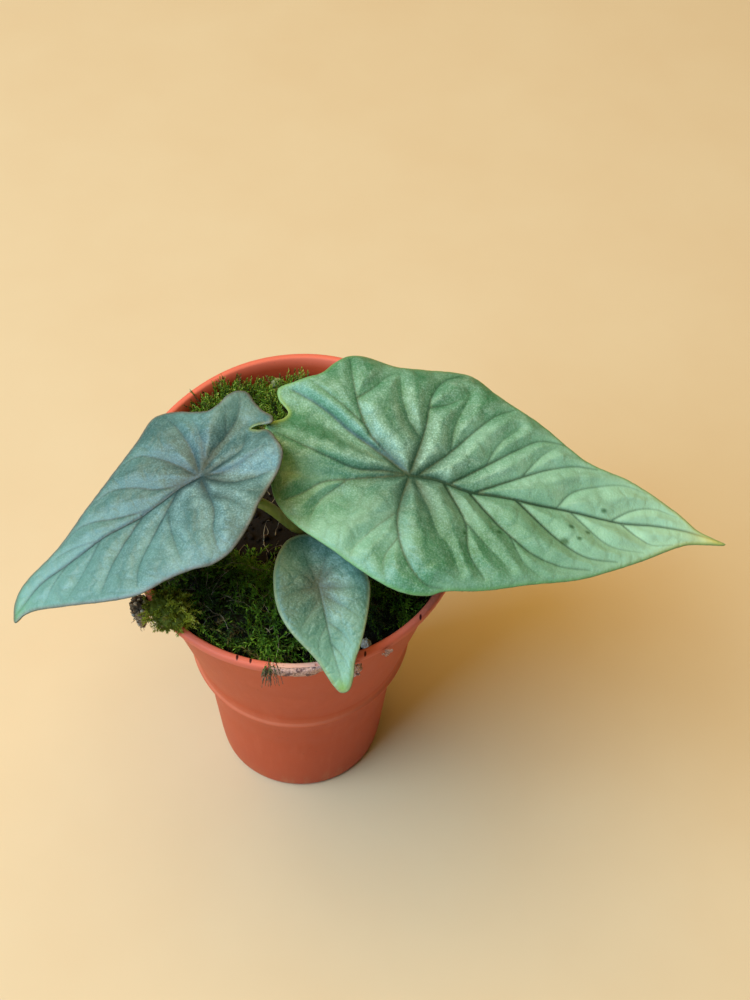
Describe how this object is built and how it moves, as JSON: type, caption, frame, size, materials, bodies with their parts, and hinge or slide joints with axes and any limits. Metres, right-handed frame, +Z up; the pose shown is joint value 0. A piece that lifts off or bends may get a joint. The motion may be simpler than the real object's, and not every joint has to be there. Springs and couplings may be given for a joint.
{
  "type": "potted alocasia",
  "caption": "Young alocasia with arrow-shaped silvery leaves, growing in soil and moss in a thin terracotta-coloured plastic nursery pot.",
  "frame": {"origin": "centre of the pot's base, on the surface it stands on", "axes": "+Z up, +X the way the large leaf points, -Y to the front, where the small leaf leans over the rim"},
  "size_m": [0.2103, 0.1376, 0.1836],
  "materials": {
    "terracotta_plastic": "satin moulded plastic, terracotta colour",
    "peat": "damp crumbly potting soil",
    "corm_skin": "fibrous brown skin",
    "stalk": "smooth pale green skin",
    "leaf_green": "leathery green leaf with a silvery sheen",
    "leaf_blue": "leathery blue-grey leaf with a silvery sheen",
    "leaf_grey": "leathery grey-green leaf with a silvery sheen",
    "moss_bright": "bright yellow-green moss",
    "moss_dark": "dark green moss",
    "root_brown": "fine brown roots and peat",
    "grey_stone": "rough grey stone",
    "pale_crust": "pale chalky crust",
    "perlite": "white porous grains"
  },
  "bodies": {
    "root": {"pot": "terracotta_plastic", "soil": "peat", "corm": "corm_skin", "petiole_large": "stalk", "petiole_left": "stalk", "petiole_small": "stalk", "blade_large": "leaf_green", "blade_left": "leaf_blue", "blade_small": "leaf_grey", "moss_back_left": "moss_bright", "moss_back_middle": "moss_bright", "moss_front_left": "moss_dark", "moss_front_right": "moss_dark", "moss_rim_strands": "moss_dark", "moss_overhang": "moss_dark", "root_clump": "root_brown", "pebble": "grey_stone", "rim_crumb_front": "pale_crust", "rim_crumb_middle": "pale_crust", "rim_crumb_right": "pale_crust", "perlite_1": "perlite", "perlite_2": "perlite", "perlite_3": "perlite", "perlite_4": "perlite"}
  },
  "joints": []
}
